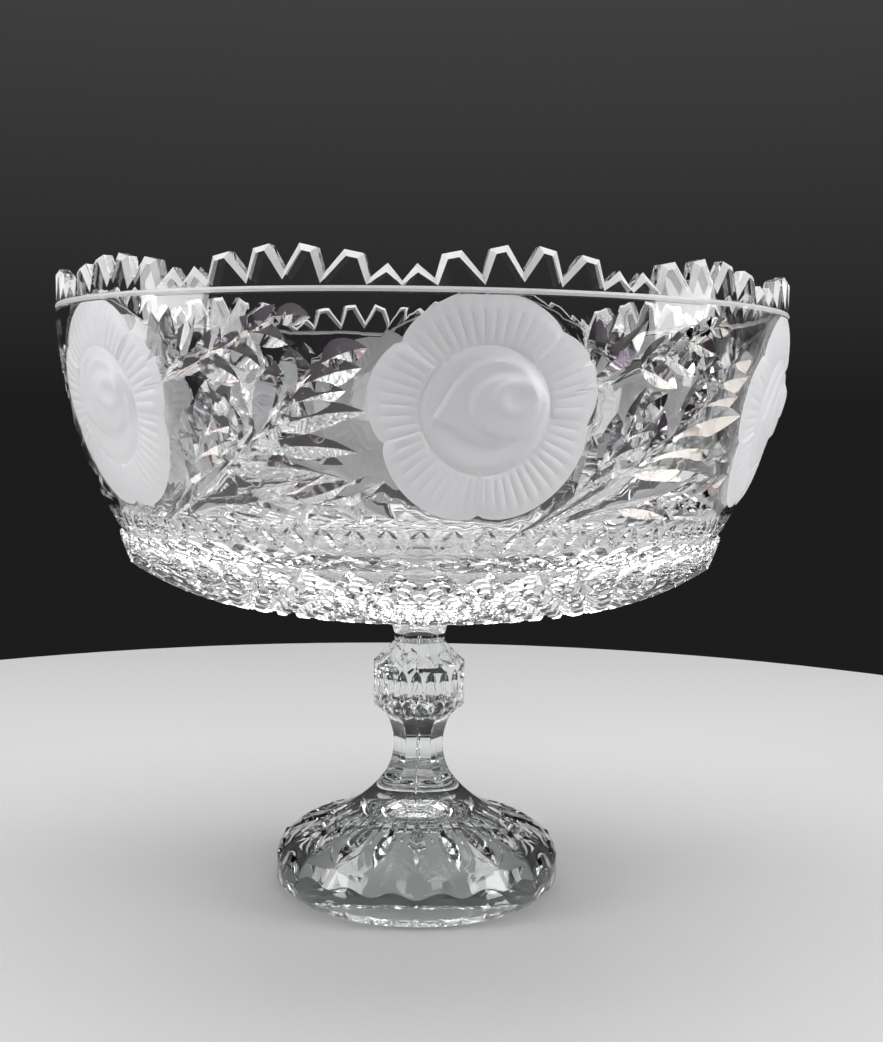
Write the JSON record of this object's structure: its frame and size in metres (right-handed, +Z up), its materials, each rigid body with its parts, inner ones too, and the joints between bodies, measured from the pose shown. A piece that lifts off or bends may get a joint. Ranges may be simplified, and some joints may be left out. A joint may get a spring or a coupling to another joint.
{
  "type": "punch bowl",
  "caption": "Large round footed crystal punch bowl: saw-toothed scalloped rim, frosted relief roses, star-cut underside and a knopped hexagonal stem on a domed hollow foot.",
  "frame": {"origin": "on the table, at the centre of the foot's standing ring", "axes": "+Z up along the bowl's axis, -Y is the front, +X the viewer's right"},
  "size_m": [0.3, 0.3004, 0.2585],
  "materials": {
    "bowl_crystal": "polished neutral lead crystal with acid-frosted relief roses",
    "pedestal_crystal": "fire-polished pressed glass, faintly green",
    "clear_adhesive": "thin cured clear adhesive, reads as a grey line"
  },
  "bodies": {
    "root": {"bowl": "bowl_crystal", "pedestal": "pedestal_crystal", "bond_disc": "clear_adhesive"}
  },
  "joints": []
}
